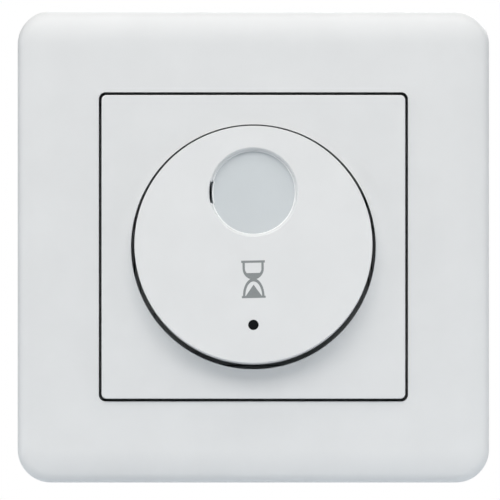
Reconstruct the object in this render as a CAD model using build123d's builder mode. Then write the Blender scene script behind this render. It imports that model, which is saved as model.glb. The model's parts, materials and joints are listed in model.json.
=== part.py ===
"""Timer light switch: a tilting push button in a centre plate and a cover frame, on a flush insert.

Millimetres. X runs to the right seen from the room, Z runs up, and the room lies towards -Y.
The wall's face is y = 0 and the origin is on the device's axis in that face. Heights are
measured out of the wall into the room, so what sits inside the wall box has negative heights.
"""
import os
from math import atan, cos, degrees, pi, radians, sin, sqrt

from build123d import *

os.makedirs("parts", exist_ok=True)

# Clearances shared by several fits
running_clearance = 0.05
pin_clearance = 0.02
slip_clearance = 0.1
moulding_clearance = 0.3

# Support strap: the steel plate that is screwed to the wall box
fixing_spacing = 60.0
fixing_slot_width = 3.7
fixing_slot_length = 8.4
strap_margin = 5.5
strap_thickness = 1.0
strap_corner_radius = 3.0
strap_seat_width = 3.0
strap_screw_web = 2.05

# Cover frame
frame_margin = 7.0
frame_corner_radius = 6.0
frame_height = 9.6
frame_crown_radius = 14.0
frame_edge_radius = 2.5
frame_wall = 2.0
frame_front_wall = 1.8
aperture_corner_radius = 1.3
aperture_edge_chamfer = 0.3
frame_skirt_wall = 1.4
frame_skirt_height = 3.6
frame_ledge_thickness = 1.5
frame_ledge_width = 2.0
frame_ring_wall = 1.2
frame_ring_height = 0.4
frame_rib_wall = 1.0
frame_rib_height = 1.6
frame_rib_spacing = 24.0

# Centre plate
plate_gap = 0.6
plate_proud = 0.8
plate_wall = 1.8
plate_corner_radius = 0.9
plate_edge_chamfer = 0.3
plate_skirt_wall = 1.3
plate_band = 5.25
plate_collar_wall = 1.2
plate_hole_chamfer = 0.3
plate_leg_thickness = 1.2
plate_leg_width = 5.0
plate_leg_inset = 3.0
plate_leg_spacing = 18.0
plate_toe_reach = 0.8
plate_toe_thickness = 1.2

# Push button and its hinge, at rest
button_gap = 0.7
button_wall = 1.6
button_skirt_wall = 1.6
button_skirt_depth = 6.0
button_edge_chamfer = 0.5
button_rest_tilt = 4.3
button_press_angle = 3.2
hinge_height = 6.2
hinge_depth = 5.9
hinge_pin_diameter = 1.5
knuckle_radius = 1.7
knuckle_width = 1.6
ear_width = 1.4
ear_gap = 0.3
ear_window_overlap = 1.8
ear_skirt_gap = 2.2

# Round window in the button
window_diameter = 16.0
window_above_centre = 1.4
window_rim = 3.95
window_taper_width = 0.5
window_recess_depth = 1.0
window_lens_clearance = 0.04
lens_edge_chamfer = 0.2
lens_flange_width = 0.5
lens_flange_thickness = 1.0
pry_notch_width = 4.0
pry_notch_depth = 0.4

# Small dark light guide low on the button
indicator_drop = 14.5
indicator_diameter = 1.8
indicator_flange_diameter = 3.4
indicator_flange_thickness = 0.8
indicator_tail_length = 8.4

# Insert cover: the front moulding of the flush insert
cover_leg_gap = 1.7
cover_corner_radius = 3.0
cover_height = 5.0
cover_wall = 1.6
cover_edge_chamfer = 0.5
cover_spigot_wall = 1.4

# Screws that hold cover, strap and housing together
insert_screw_diameter = 3.0
insert_screw_length = 9.0
insert_screw_head_diameter = 5.4
insert_screw_head_height = 1.8
insert_screw_clearance = 0.15
cross_recess_width = 0.8
cross_recess_length = 3.0
cross_recess_depth = 0.9

# Rear housing: the tub inside the wall box
housing_side_room = 6.0
housing_corner_cut = 5.5
housing_corner_radius = 3.0
housing_wall = 1.6
housing_floor = 1.8
housing_edge_chamfer = 0.8
housing_screw_inset = 2.2
housing_boss_radius = 2.4
housing_boss_floor = 3.3
board_ledge_width = 1.1
board_ledge_length = 14.0
board_ledge_depth = 3.0

# Circuit boards
board_thickness = 1.6
board_corner_radius = 1.5
control_board_height = -1.0
relay_headroom = 3.4

# Push switch on the control board
switch_drop = 3.0
switch_side = 7.2
switch_corner_radius = 0.6
switch_body_height = 3.2
switch_cover_thickness = 0.4
switch_cavity_diameter = 5.6
plunger_diameter = 3.5
plunger_flange_diameter = 5.2
plunger_flange_thickness = 0.7
plunger_height = 5.9
plunger_gap = 0.06
plunger_overtravel = 0.6
plunger_hole_clearance = 0.65
actuator_radius = 1.6
actuator_tip_radius = 0.8

# Return spring and its two spigots
spring_drop = 9.0
spring_diameter = 5.0
spring_wire = 0.5
spring_wire_sides = 6
spring_turns = 4
spring_spigot_clearance = 0.3
spring_spigot_length = 1.5

# Stop hooks under the button
hook_offset = 8.0
hook_skirt_gap = 2.7
hook_width = 3.6
hook_thickness = 1.5
hook_toe_reach = 1.3
hook_toe_thickness = 1.2
hook_slot_clearance = 0.5

# Light guide under the window and the lamps
guide_diameter = 10.0
guide_height = 9.0
guide_flange_width = 1.2
guide_flange_thickness = 1.2
guide_gap = 0.4
lamp_length = 3.0
lamp_width = 2.0
lamp_height = 1.0
lamp_spacing = 4.4

# Parts on the boards
chip_side = 7.0
chip_height = 1.0
chip_offset = 12.0
chip_drop = 2.0
chip_leg_length = 0.9
chip_leg_width = 0.35
chip_leg_thickness = 0.2
chip_leg_pitch = 0.8
chip_legs_per_side = 8
header_pitch = 2.54
header_pins_count = 5
header_rise = 17.0
header_body_height = 2.5
header_pin_width = 0.64
relay_length = 20.0
relay_width = 10.0
relay_height = 12.4
relay_offset = -7.5
relay_drop = 10.5
case_edge_chamfer = 0.5
film_length = 13.0
film_width = 6.0
film_height = 11.0
film_offset = 11.0
film_drop = 12.0
electrolytic_diameter = 8.0
electrolytic_height = 11.0
electrolytic_offset = 14.0
electrolytic_rise = 5.0
electrolytic_spacing = 9.0
electrolytic_rim_chamfer = 0.4
varistor_diameter = 9.0
varistor_thickness = 3.6
varistor_offset = -15.0
varistor_rise = 2.0
varistor_standoff = 0.5
varistor_lead_width = 3.0
fuse_diameter = 8.4
fuse_height = 7.5
fuse_offset = -13.5
fuse_rise = 11.5
choke_diameter = 8.0
choke_height = 9.5
choke_core_diameter = 5.2
choke_flange_height = 1.4
choke_offset = 1.0
choke_rise = 4.5

# Terminals along the lower edge
terminal_count = 4
terminal_pitch = 8.5
terminal_board_gap = 2.0
bar_thickness = 1.0
bar_nut_gap = 2.6
bar_tail_width = 2.0
bar_tail_length = 1.5
cage_depth = 5.0
cage_side_gap = 0.55
cage_floor_gap = 1.2
cage_side_wall = 0.9
cage_nut_wall = 1.4
cage_far_wall = 1.2
cage_travel = 2.5
cage_closed_gap = 0.3
terminal_screw_diameter = 3.4
terminal_screw_head_diameter = 5.4
terminal_screw_head_height = 1.6
terminal_screw_recess = 0.2
terminal_head_clearance = 0.2
terminal_slot_width = 0.8
terminal_slot_depth = 0.9
chamber_wall = 1.0
chamber_clearance = 1.0
wire_entry_diameter = 3.0
wire_entry_chamfer = 0.3
terminal_cover_rise = 3.4
terminal_cover_drop = 5.2
terminal_cover_side_margin = 0.5


def at(height):
    """Plane parallel to the wall, seen from the room, at a height out of the wall."""
    return Plane.XZ.offset(height)


def cut_square(side, corner_radius, diameter):
    """Rounded square whose corners are cut by a circle, as everything in a round wall box is."""
    RectangleRounded(side, side, corner_radius)
    Circle(diameter / 2, mode=Mode.INTERSECT)


# Sizes that follow from the ones above, from the window outwards to the frame
window_rise = window_above_centre + window_diameter / 2
button_diameter = 2 * (window_rise + window_diameter / 2 + window_rim)
button_inner_radius = button_diameter / 2 - button_skirt_wall
plate_hole_diameter = button_diameter + 2 * button_gap
plate_side = plate_hole_diameter + 2 * plate_band
plate_leg_offset = plate_side / 2 - plate_leg_inset
aperture_side = plate_side + 2 * plate_gap
strap_side = fixing_spacing + 2 * strap_margin
frame_side = strap_side + 2 * frame_margin
plate_height = frame_height + plate_proud
frame_skirt_side = aperture_side + 2 * frame_skirt_wall
frame_hollow_side = frame_side - 2 * frame_wall
frame_ledge_height = frame_skirt_height + frame_ledge_thickness
frame_ledge_side = aperture_side - 2 * frame_ledge_width
plate_skirt_height = frame_ledge_height + slip_clearance

# The hinge stands as high as its pins' ends and the button's skirt allow
ear_start = window_diameter / 2 - ear_window_overlap
ear_span = 2 * ear_width + 2 * ear_gap + knuckle_width
hinge_rise = sqrt((button_inner_radius - ear_skirt_gap) ** 2 - (ear_start + ear_span) ** 2)
hook_drop = button_inner_radius - hook_skirt_gap - hook_toe_reach - hook_thickness / 2

# The insert, from the terminals and the relay outwards to the housing
housing_side = terminal_count * terminal_pitch + 2 * housing_side_room
housing_diameter = housing_side + 2 * housing_corner_cut
housing_inner_side = housing_side - 2 * housing_wall
screw_circle_radius = housing_diameter / 2 - housing_screw_inset
screw_offset = screw_circle_radius / sqrt(2)
screw_places = [(screw_offset, screw_offset), (-screw_offset, -screw_offset)]
strap_hole_radius = insert_screw_diameter / 2 + insert_screw_clearance
strap_opening_side = housing_side - 2 * strap_seat_width
strap_opening_diameter = 2 * (screw_circle_radius - strap_hole_radius - strap_screw_web)
cover_side = 2 * (plate_leg_offset - plate_leg_thickness / 2 - cover_leg_gap)
cover_inner_height = cover_height - cover_wall
spigot_side = strap_opening_side - 2 * moulding_clearance
spigot_diameter = strap_opening_diameter - 2 * moulding_clearance
screw_seat_height = cover_height - insert_screw_head_height - cross_recess_depth
control_board_back = control_board_height - board_thickness
power_board_height = control_board_back - relay_headroom - relay_height
power_board_back = power_board_height - board_thickness
board_side = housing_inner_side - 2 * moulding_clearance
board_diameter = 2 * (screw_circle_radius - housing_boss_radius - moulding_clearance)
terminal_depth = terminal_board_gap + cage_depth / 2 - power_board_back
housing_hollow_depth = terminal_depth + cage_depth / 2 + cage_floor_gap
housing_depth = housing_hollow_depth + housing_floor
housing_boss_depth = insert_screw_length - screw_seat_height + housing_boss_floor

# The button lies in planes that are tilted about the hinge axis
rest_tilt = radians(button_rest_tilt)
button_outward = Vector(0, -cos(rest_tilt), sin(rest_tilt))
button_upward = Vector(0, sin(rest_tilt), cos(rest_tilt))
hinge_point = Vector(0, -hinge_height, hinge_rise)
button_inner_level = hinge_depth - button_wall
button_skirt_level = hinge_depth - button_skirt_depth


def button_at(level):
    """Plane of the tilted button, centred on it, at a level out from the hinge axis."""
    centre = hinge_point - button_upward * hinge_rise + button_outward * level
    return Plane(origin=centre, x_dir=(1, 0, 0), z_dir=button_outward)


def button_side_plane(across):
    """Plane square to the hinge axis: local x runs up the button, local y runs out of it."""
    return Plane(origin=hinge_point + Vector(across, 0, 0), x_dir=button_upward, z_dir=(1, 0, 0))


def button_height_at(rise, level, tilt=rest_tilt):
    """Height above the wall of a point of the button, at rest or at another tilt."""
    return hinge_height + level * cos(tilt) + (hinge_rise - rise) * sin(tilt)


def button_level_for(rise, height):
    """Level in the button of a point that lies at a height above the wall."""
    return (height - hinge_height - (hinge_rise - rise) * sin(rest_tilt)) / cos(rest_tilt)


# Support strap: flat steel plate with slots on the 60 mm fixing centres
with BuildPart() as support_strap:
    with BuildSketch(at(0)):
        RectangleRounded(strap_side, strap_side, strap_corner_radius)
        with BuildSketch(Plane.XY, mode=Mode.SUBTRACT):
            cut_square(strap_opening_side, strap_corner_radius, strap_opening_diameter)
        with GridLocations(fixing_spacing, 0, 2, 1):
            SlotOverall(fixing_slot_length, fixing_slot_width, mode=Mode.SUBTRACT)
        with GridLocations(0, fixing_spacing, 1, 2):
            SlotOverall(fixing_slot_length, fixing_slot_width, rotation=90, mode=Mode.SUBTRACT)
        with Locations(*screw_places):
            Circle(strap_hole_radius, mode=Mode.SUBTRACT)
        with GridLocations(2 * plate_leg_offset, plate_leg_spacing, 2, 2):
            Rectangle(
                plate_leg_thickness + 2 * moulding_clearance,
                plate_leg_width + 2 * moulding_clearance,
                mode=Mode.SUBTRACT,
            )
    extrude(amount=strap_thickness)
support_strap.part.label = "support_strap"
export_step(support_strap.part, "parts/support_strap.step")


def edge_section():
    """Section of the cover frame's edge: a large soft crown, then a tighter edge, then the side."""
    radius_step = frame_crown_radius - frame_edge_radius
    edge_centre_across = frame_corner_radius - frame_edge_radius
    centre_rise = sqrt(radius_step**2 - edge_centre_across**2)
    side_top = frame_height - frame_crown_radius + centre_rise
    crown_share = frame_crown_radius / radius_step
    joint_across = edge_centre_across * crown_share
    joint_height = frame_height - frame_crown_radius + centre_rise * crown_share
    with BuildLine() as outline:
        crown = TangentArc((0, frame_height), (joint_across, joint_height), tangent=(1, 0))
        edge = TangentArc(crown @ 1, (frame_corner_radius, side_top), tangent=crown % 1)
        Polyline(edge @ 1, (frame_corner_radius, 0), (0, 0), (0, frame_height))
    make_face(outline.edges())


# Cover frame: flat middle, edge strips along the four sides and turned corners, hollow from behind
frame_corner_centre = frame_side / 2 - frame_corner_radius
with BuildPart() as cover_frame:
    with BuildSketch(at(0)):
        Rectangle(2 * frame_corner_centre, 2 * frame_corner_centre)
    extrude(amount=frame_height)
    for quarter in range(4):
        turn = quarter * pi / 2
        outward = Vector(cos(turn), 0, sin(turn))
        onward = Vector(sin(turn), 0, -cos(turn))
        near_corner = (outward - onward) * frame_corner_centre
        far_corner = (outward + onward) * frame_corner_centre
        with BuildSketch(Plane(origin=near_corner, x_dir=outward, z_dir=onward)):
            edge_section()
        extrude(amount=2 * frame_corner_centre)
        with BuildSketch(Plane(origin=far_corner, x_dir=outward, z_dir=onward)):
            edge_section()
        revolve(axis=Axis(far_corner, (0, 1, 0)), revolution_arc=90)
    with BuildSketch(at(0)):
        RectangleRounded(frame_hollow_side, frame_hollow_side, frame_corner_radius - frame_wall)
        RectangleRounded(
            frame_skirt_side, frame_skirt_side, aperture_corner_radius + frame_skirt_wall, mode=Mode.SUBTRACT
        )
    extrude(amount=frame_height - frame_front_wall, mode=Mode.SUBTRACT)
    with BuildSketch(at(0)):
        Rectangle(frame_skirt_side, frame_skirt_side)
    extrude(amount=frame_skirt_height, mode=Mode.SUBTRACT)
    with BuildSketch(at(frame_skirt_height)):
        RectangleRounded(frame_ledge_side, frame_ledge_side, aperture_corner_radius)
    extrude(amount=frame_ledge_thickness, mode=Mode.SUBTRACT)
    with BuildSketch(at(frame_ledge_height)):
        RectangleRounded(aperture_side, aperture_side, aperture_corner_radius)
    extrude(amount=frame_height, mode=Mode.SUBTRACT)
    aperture_rim = cover_frame.edges().filter_by(
        lambda edge: edge.center().Y < slip_clearance - frame_height
        and max(abs(edge.center().X), abs(edge.center().Z)) < aperture_side / 2 + slip_clearance
    )
    chamfer(aperture_rim, aperture_edge_chamfer)
    ring_side = strap_side + 2 * moulding_clearance
    with BuildSketch(at(frame_ring_height)):
        Rectangle(ring_side + 2 * frame_ring_wall, ring_side + 2 * frame_ring_wall)
        Rectangle(ring_side, ring_side, mode=Mode.SUBTRACT)
    extrude(amount=frame_height - frame_front_wall - frame_ring_height)
    rib_length = (frame_hollow_side - frame_skirt_side) / 2
    rib_centre = (frame_hollow_side + frame_skirt_side) / 4
    with BuildSketch(at(frame_rib_height)):
        with GridLocations(2 * rib_centre, frame_rib_spacing, 2, 2):
            Rectangle(rib_length, frame_rib_wall)
        with GridLocations(frame_rib_spacing, 2 * rib_centre, 2, 2):
            Rectangle(frame_rib_wall, rib_length)
    extrude(amount=frame_height - frame_front_wall - frame_rib_height)
cover_frame.part.label = "cover_frame"
export_step(cover_frame.part, "parts/cover_frame.step")

# Centre plate: shallow cap with a collar round the button and four legs that snap behind the strap
with BuildPart() as centre_plate:
    with BuildSketch(at(plate_skirt_height)):
        RectangleRounded(plate_side, plate_side, plate_corner_radius)
    extrude(amount=plate_height - plate_skirt_height)
    chamfer(centre_plate.faces().sort_by(Axis.Y)[0].outer_wire().edges(), plate_edge_chamfer)
    with BuildSketch(at(plate_skirt_height)):
        Rectangle(plate_side - 2 * plate_skirt_wall, plate_side - 2 * plate_skirt_wall)
        Circle(plate_hole_diameter / 2 + plate_collar_wall, mode=Mode.SUBTRACT)
    extrude(amount=plate_height - plate_wall - plate_skirt_height, mode=Mode.SUBTRACT)
    with BuildSketch(at(plate_skirt_height)):
        Circle(plate_hole_diameter / 2)
    extrude(amount=plate_height, mode=Mode.SUBTRACT)
    hole_rim = centre_plate.faces().sort_by(Axis.Y)[0].inner_wires()[0].edges()
    chamfer(hole_rim, plate_hole_chamfer)
    leg_foot = -slip_clearance - plate_toe_thickness
    with BuildSketch(at(leg_foot)):
        with GridLocations(2 * plate_leg_offset, plate_leg_spacing, 2, 2):
            Rectangle(plate_leg_thickness, plate_leg_width)
    extrude(amount=plate_height - plate_wall - leg_foot)
    for side in (-1, 1):
        outer_face = plate_leg_offset + plate_leg_thickness / 2
        for row in (-1, 1):
            row_rise = row * plate_leg_spacing / 2
            with BuildSketch(Plane.XY.offset(row_rise - plate_leg_width / 2)):
                with BuildLine():
                    Polyline(
                        (side * outer_face, slip_clearance),
                        (side * (outer_face + plate_toe_reach), slip_clearance),
                        (side * outer_face, -leg_foot),
                        close=True,
                    )
                make_face()
            extrude(amount=plate_leg_width)
centre_plate.part.label = "centre_plate"
export_step(centre_plate.part, "parts/centre_plate.step")

# Push button: round cap, tilted on its hinge, with window recess, knuckles, actuator and stop hooks
window_radius = window_diameter / 2
lens_hole_radius = window_radius - window_taper_width
lens_level = hinge_depth - window_recess_depth
spring_spigot_radius = spring_diameter / 2 - spring_wire - spring_spigot_clearance
actuator_touch_rise = actuator_tip_radius - switch_drop
actuator_level = button_level_for(actuator_touch_rise, plunger_height + plunger_gap)
actuator_cone_height = actuator_radius - actuator_tip_radius
hook_tip_drop = hook_drop + hook_thickness / 2 + hook_toe_reach
hook_catch_level = button_level_for(-hook_tip_drop, cover_inner_height - slip_clearance)
knuckle_centre = ear_start + ear_width + ear_gap + knuckle_width / 2
notch_radius = lens_hole_radius + pry_notch_depth

with BuildPart() as button_disc:
    with BuildSketch(button_at(button_skirt_level)):
        Circle(button_diameter / 2)
    extrude(amount=button_skirt_depth)
    front_face = button_disc.faces().sort_by(Axis(hinge_point, button_outward))[-1]
    chamfer(front_face.edges(), button_edge_chamfer)
    with BuildSketch(button_at(button_skirt_level)):
        Circle(button_inner_radius)
    extrude(amount=button_skirt_depth - button_wall, mode=Mode.SUBTRACT)
    with BuildSketch(button_at(lens_level)):
        with Locations((0, window_rise)):
            Circle(lens_hole_radius)
    extrude(
        amount=window_recess_depth,
        taper=-degrees(atan(window_taper_width / window_recess_depth)),
        mode=Mode.SUBTRACT,
    )
    with BuildSketch(button_at(button_inner_level)):
        with Locations((0, window_rise)):
            Circle(lens_hole_radius)
        with Locations((-notch_radius / 2, window_rise)):
            Rectangle(notch_radius, pry_notch_width)
        with Locations((0, window_rise)):
            Circle(notch_radius, mode=Mode.INTERSECT)
        with Locations((0, -indicator_drop)):
            Circle(indicator_diameter / 2 + pin_clearance)
    extrude(amount=button_wall, mode=Mode.SUBTRACT)
    with BuildSketch(button_at(actuator_level)):
        with Locations((0, -switch_drop)):
            Circle(actuator_tip_radius)
    extrude(amount=actuator_cone_height, taper=-45)
    with BuildSketch(button_at(actuator_level + actuator_cone_height)):
        with Locations((0, -switch_drop)):
            Circle(actuator_radius)
    extrude(amount=button_inner_level - actuator_level - actuator_cone_height)
    with BuildSketch(button_at(button_inner_level - spring_spigot_length)):
        with Locations((0, -spring_drop)):
            Circle(spring_spigot_radius)
    extrude(amount=spring_spigot_length)
    with BuildSketch(button_at(hook_catch_level - hook_toe_thickness)):
        with GridLocations(2 * hook_offset, 0, 2, 1):
            with Locations((0, -hook_drop)):
                Rectangle(hook_width, hook_thickness)
    extrude(amount=button_inner_level - hook_catch_level + hook_toe_thickness)
    for side in (-1, 1):
        with BuildSketch(button_side_plane(side * hook_offset - hook_width / 2)):
            toe_root = -hook_drop - hook_thickness / 2 - hinge_rise
            with BuildLine():
                Polyline(
                    (toe_root, hook_catch_level),
                    (toe_root - hook_toe_reach, hook_catch_level),
                    (toe_root, hook_catch_level - hook_toe_thickness),
                    close=True,
                )
            make_face()
        extrude(amount=hook_width)
        with BuildSketch(button_side_plane(side * knuckle_centre - knuckle_width / 2)):
            Circle(knuckle_radius)
            with Locations((0, button_inner_level / 2)):
                Rectangle(2 * knuckle_radius, button_inner_level)
            Circle(hinge_pin_diameter / 2 + running_clearance, mode=Mode.SUBTRACT)
        extrude(amount=knuckle_width)
button_disc.part.label = "button_disc"
export_step(button_disc.part, "parts/button_disc.step")

# Window lens: clear disc with a flange behind the button's wall and a pry notch at its left
lens_radius = lens_hole_radius - window_lens_clearance
with BuildPart() as window_lens:
    with BuildSketch(button_at(button_inner_level)):
        with Locations((0, window_rise)):
            Circle(lens_radius)
    extrude(amount=lens_level - button_inner_level)
    lens_front = window_lens.faces().sort_by(Axis(hinge_point, button_outward))[-1]
    chamfer(lens_front.edges(), lens_edge_chamfer)
    with BuildSketch(button_at(button_inner_level - lens_flange_thickness)):
        with Locations((0, window_rise)):
            Circle(lens_hole_radius + lens_flange_width)
        with Locations((-notch_radius, window_rise)):
            Rectangle(2 * pry_notch_depth, pry_notch_width, mode=Mode.SUBTRACT)
    extrude(amount=lens_flange_thickness)
window_lens.part.label = "window_lens"
export_step(window_lens.part, "parts/window_lens.step")

# Indicator guide: small dark light guide with a flange behind the button's wall
with BuildPart() as indicator_guide:
    with BuildSketch(button_at(hinge_depth - indicator_tail_length)):
        with Locations((0, -indicator_drop)):
            Circle(indicator_diameter / 2)
    extrude(amount=indicator_tail_length)
    with BuildSketch(button_at(button_inner_level - indicator_flange_thickness)):
        with Locations((0, -indicator_drop)):
            Circle(indicator_flange_diameter / 2)
    extrude(amount=indicator_flange_thickness)
indicator_guide.part.label = "indicator_guide"
export_step(indicator_guide.part, "parts/indicator_guide.step")

# Hinge pins: one short steel pin through each pair of ears
with BuildPart() as hinge_pins:
    with BuildSketch(button_side_plane(-ear_start - ear_span)):
        Circle(hinge_pin_diameter / 2)
    extrude(amount=ear_span)
    with BuildSketch(button_side_plane(ear_start)):
        Circle(hinge_pin_diameter / 2)
    extrude(amount=ear_span)
hinge_pins.part.label = "hinge_pins"
export_step(hinge_pins.part, "parts/hinge_pins.step")

# Insert cover: front moulding with hinge ears, openings for what passes to the button, and posts
cover_hollow_side = spigot_side - 2 * cover_spigot_wall
cover_hollow_diameter = spigot_diameter - 2 * cover_spigot_wall
hook_slot_width = hook_width + 2 * hook_slot_clearance
hook_slot_height = hook_thickness + 2 * hook_slot_clearance
hook_slot_drop = hook_drop + hook_slot_clearance / 2
knuckle_slot_width = knuckle_width + 2 * ear_gap
knuckle_slot_height = 2 * (knuckle_radius + hook_slot_clearance)
guide_hole_radius = guide_diameter / 2 + moulding_clearance
indicator_hole_radius = indicator_flange_diameter / 2 + moulding_clearance
screw_counterbore_radius = insert_screw_head_diameter / 2 + insert_screw_clearance

with BuildPart() as insert_cover:
    with BuildSketch(at(strap_thickness)):
        RectangleRounded(cover_side, cover_side, cover_corner_radius)
    extrude(amount=cover_height - strap_thickness)
    chamfer(insert_cover.faces().sort_by(Axis.Y)[0].edges(), cover_edge_chamfer)
    with BuildSketch(at(control_board_height)):
        cut_square(spigot_side, strap_corner_radius, spigot_diameter)
    extrude(amount=strap_thickness - control_board_height)
    with BuildSketch(at(control_board_height)):
        cut_square(cover_hollow_side, strap_corner_radius, cover_hollow_diameter)
    extrude(amount=cover_inner_height - control_board_height, mode=Mode.SUBTRACT)
    with BuildSketch(at(cover_inner_height)):
        with Locations((0, window_rise)):
            Circle(guide_hole_radius)
        with Locations((0, -switch_drop)):
            Circle(plunger_diameter / 2 + plunger_hole_clearance)
        with Locations((0, -indicator_drop)):
            Circle(indicator_hole_radius)
        with GridLocations(2 * hook_offset, 0, 2, 1):
            with Locations((0, -hook_slot_drop)):
                Rectangle(hook_slot_width, hook_slot_height)
        with GridLocations(2 * knuckle_centre, 0, 2, 1):
            with Locations((0, hinge_rise)):
                Rectangle(knuckle_slot_width, knuckle_slot_height)
    extrude(amount=cover_wall, mode=Mode.SUBTRACT)
    with BuildSketch(at(0)):
        with Locations(*screw_places):
            Circle(insert_screw_diameter / 2 + insert_screw_clearance)
    extrude(amount=cover_height, mode=Mode.SUBTRACT)
    with BuildSketch(at(screw_seat_height)):
        with Locations(*screw_places):
            Circle(screw_counterbore_radius)
    extrude(amount=cover_height, mode=Mode.SUBTRACT)
    with BuildSketch(at(cover_height)):
        with Locations((0, -spring_drop)):
            Circle(spring_spigot_radius)
    extrude(amount=spring_spigot_length)
    ear_starts = (ear_start, ear_start + ear_width + 2 * ear_gap + knuckle_width)
    ear_height = hinge_height - cover_height
    for start in ear_starts:
        for side_start in (start, -start - ear_width):
            with BuildSketch(Plane.YZ.offset(side_start)):
                with Locations((-hinge_height, hinge_rise)):
                    Circle(knuckle_radius)
                with Locations((-cover_height - ear_height / 2, hinge_rise)):
                    Rectangle(ear_height, 2 * knuckle_radius)
            extrude(amount=ear_width)
            with BuildSketch(Plane.YZ.offset(side_start)):
                with Locations((-hinge_height, hinge_rise)):
                    Circle(hinge_pin_diameter / 2 + pin_clearance)
            extrude(amount=ear_width, mode=Mode.SUBTRACT)
insert_cover.part.label = "insert_cover"
export_step(insert_cover.part, "parts/insert_cover.step")

# Insert screws: two thread-forming screws through cover and strap into the housing
with BuildPart() as insert_screws:
    with BuildSketch(at(screw_seat_height - insert_screw_length)):
        with Locations(*screw_places):
            Circle(insert_screw_diameter / 2)
    extrude(amount=insert_screw_length)
    with BuildSketch(at(screw_seat_height)):
        with Locations(*screw_places):
            Circle(insert_screw_head_diameter / 2)
    extrude(amount=insert_screw_head_height)
    head_top = screw_seat_height + insert_screw_head_height
    with BuildSketch(at(head_top - cross_recess_depth)):
        with Locations(*screw_places):
            Rectangle(cross_recess_length, cross_recess_width)
            Rectangle(cross_recess_width, cross_recess_length)
    extrude(amount=cross_recess_depth, mode=Mode.SUBTRACT)
insert_screws.part.label = "insert_screws"
export_step(insert_screws.part, "parts/insert_screws.step")

# Terminal places, measured down from the device's axis
terminal_span = (terminal_count - 1) * terminal_pitch
terminal_places = [index * terminal_pitch - terminal_span / 2 for index in range(terminal_count)]
screw_head_drop = housing_side / 2 - terminal_screw_recess
screw_seat_drop = screw_head_drop - terminal_screw_head_height
cage_width = terminal_pitch - chamber_wall - 2 * cage_side_gap
cage_bottom_drop = screw_seat_drop - slip_clearance - cage_travel
bar_width = cage_width - 2 * cage_side_wall - 2 * moulding_clearance
bar_back_drop = cage_bottom_drop - cage_nut_wall - bar_nut_gap
bar_top_drop = bar_back_drop - bar_thickness
far_wall_drop = bar_top_drop - cage_closed_gap - cage_travel
cage_top_drop = far_wall_drop - cage_far_wall
wire_drop = (bar_top_drop + far_wall_drop) / 2
chamber_top_drop = cage_top_drop - chamber_clearance
chamber_side = terminal_span / 2 + terminal_pitch / 2

# Rear housing: tub with screw bosses, board ledges and a chamber for each terminal
housing_inner_corner_radius = housing_corner_radius - housing_wall
housing_inner_diameter = housing_diameter - 2 * housing_wall
with BuildPart() as rear_housing:
    with BuildSketch(at(-housing_depth)):
        cut_square(housing_side, housing_corner_radius, housing_diameter)
    extrude(amount=housing_depth)
    chamfer(rear_housing.faces().sort_by(Axis.Y)[-1].edges(), housing_edge_chamfer)
    with BuildSketch(at(-housing_hollow_depth)):
        cut_square(housing_inner_side, housing_inner_corner_radius, housing_inner_diameter)
    extrude(amount=housing_hollow_depth, mode=Mode.SUBTRACT)
    with BuildSketch(at(-housing_boss_depth)):
        with Locations(*screw_places):
            Circle(housing_boss_radius)
        Circle((housing_diameter - housing_wall) / 2, mode=Mode.INTERSECT)
    extrude(amount=housing_boss_depth)
    with BuildSketch(at(screw_seat_height - insert_screw_length)):
        with Locations(*screw_places):
            Circle(insert_screw_diameter / 2 + pin_clearance)
    extrude(amount=insert_screw_length, mode=Mode.SUBTRACT)
    ledge_centre = housing_inner_side / 2 - board_ledge_width / 2
    for ledge_top in (control_board_back, power_board_back):
        with BuildSketch(at(ledge_top - board_ledge_depth)):
            with GridLocations(2 * ledge_centre, 0, 2, 1):
                Rectangle(board_ledge_width, board_ledge_length)
            with Locations((0, ledge_centre)):
                Rectangle(board_ledge_length, board_ledge_width)
        extrude(amount=board_ledge_depth)
    chamber_height = housing_hollow_depth + power_board_back
    chamber_depth_centre = -(housing_inner_side / 2 + chamber_top_drop - chamber_wall) / 2
    with BuildSketch(at(-housing_hollow_depth)):
        with GridLocations(terminal_pitch, 0, terminal_count + 1, 1):
            with Locations((0, chamber_depth_centre)):
                Rectangle(chamber_wall, housing_inner_side / 2 - chamber_top_drop + chamber_wall)
        with Locations((0, -chamber_top_drop + chamber_wall / 2)):
            Rectangle(2 * chamber_side + chamber_wall, chamber_wall)
    extrude(amount=chamber_height)
    with BuildSketch(Plane.XY.offset(-housing_side / 2)):
        with GridLocations(terminal_pitch, 0, terminal_count, 1):
            with Locations((0, terminal_depth)):
                Circle(terminal_screw_head_diameter / 2 + terminal_head_clearance)
    extrude(amount=housing_wall, mode=Mode.SUBTRACT)
    with BuildSketch(at(-housing_depth)):
        with Locations((0, -(wire_drop + (terminal_cover_drop - terminal_cover_rise) / 2))):
            Rectangle(
                2 * (chamber_side - terminal_cover_side_margin), terminal_cover_rise + terminal_cover_drop
            )
    extrude(amount=housing_floor, mode=Mode.SUBTRACT)
rear_housing.part.label = "rear_housing"
export_step(rear_housing.part, "parts/rear_housing.step")

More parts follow.
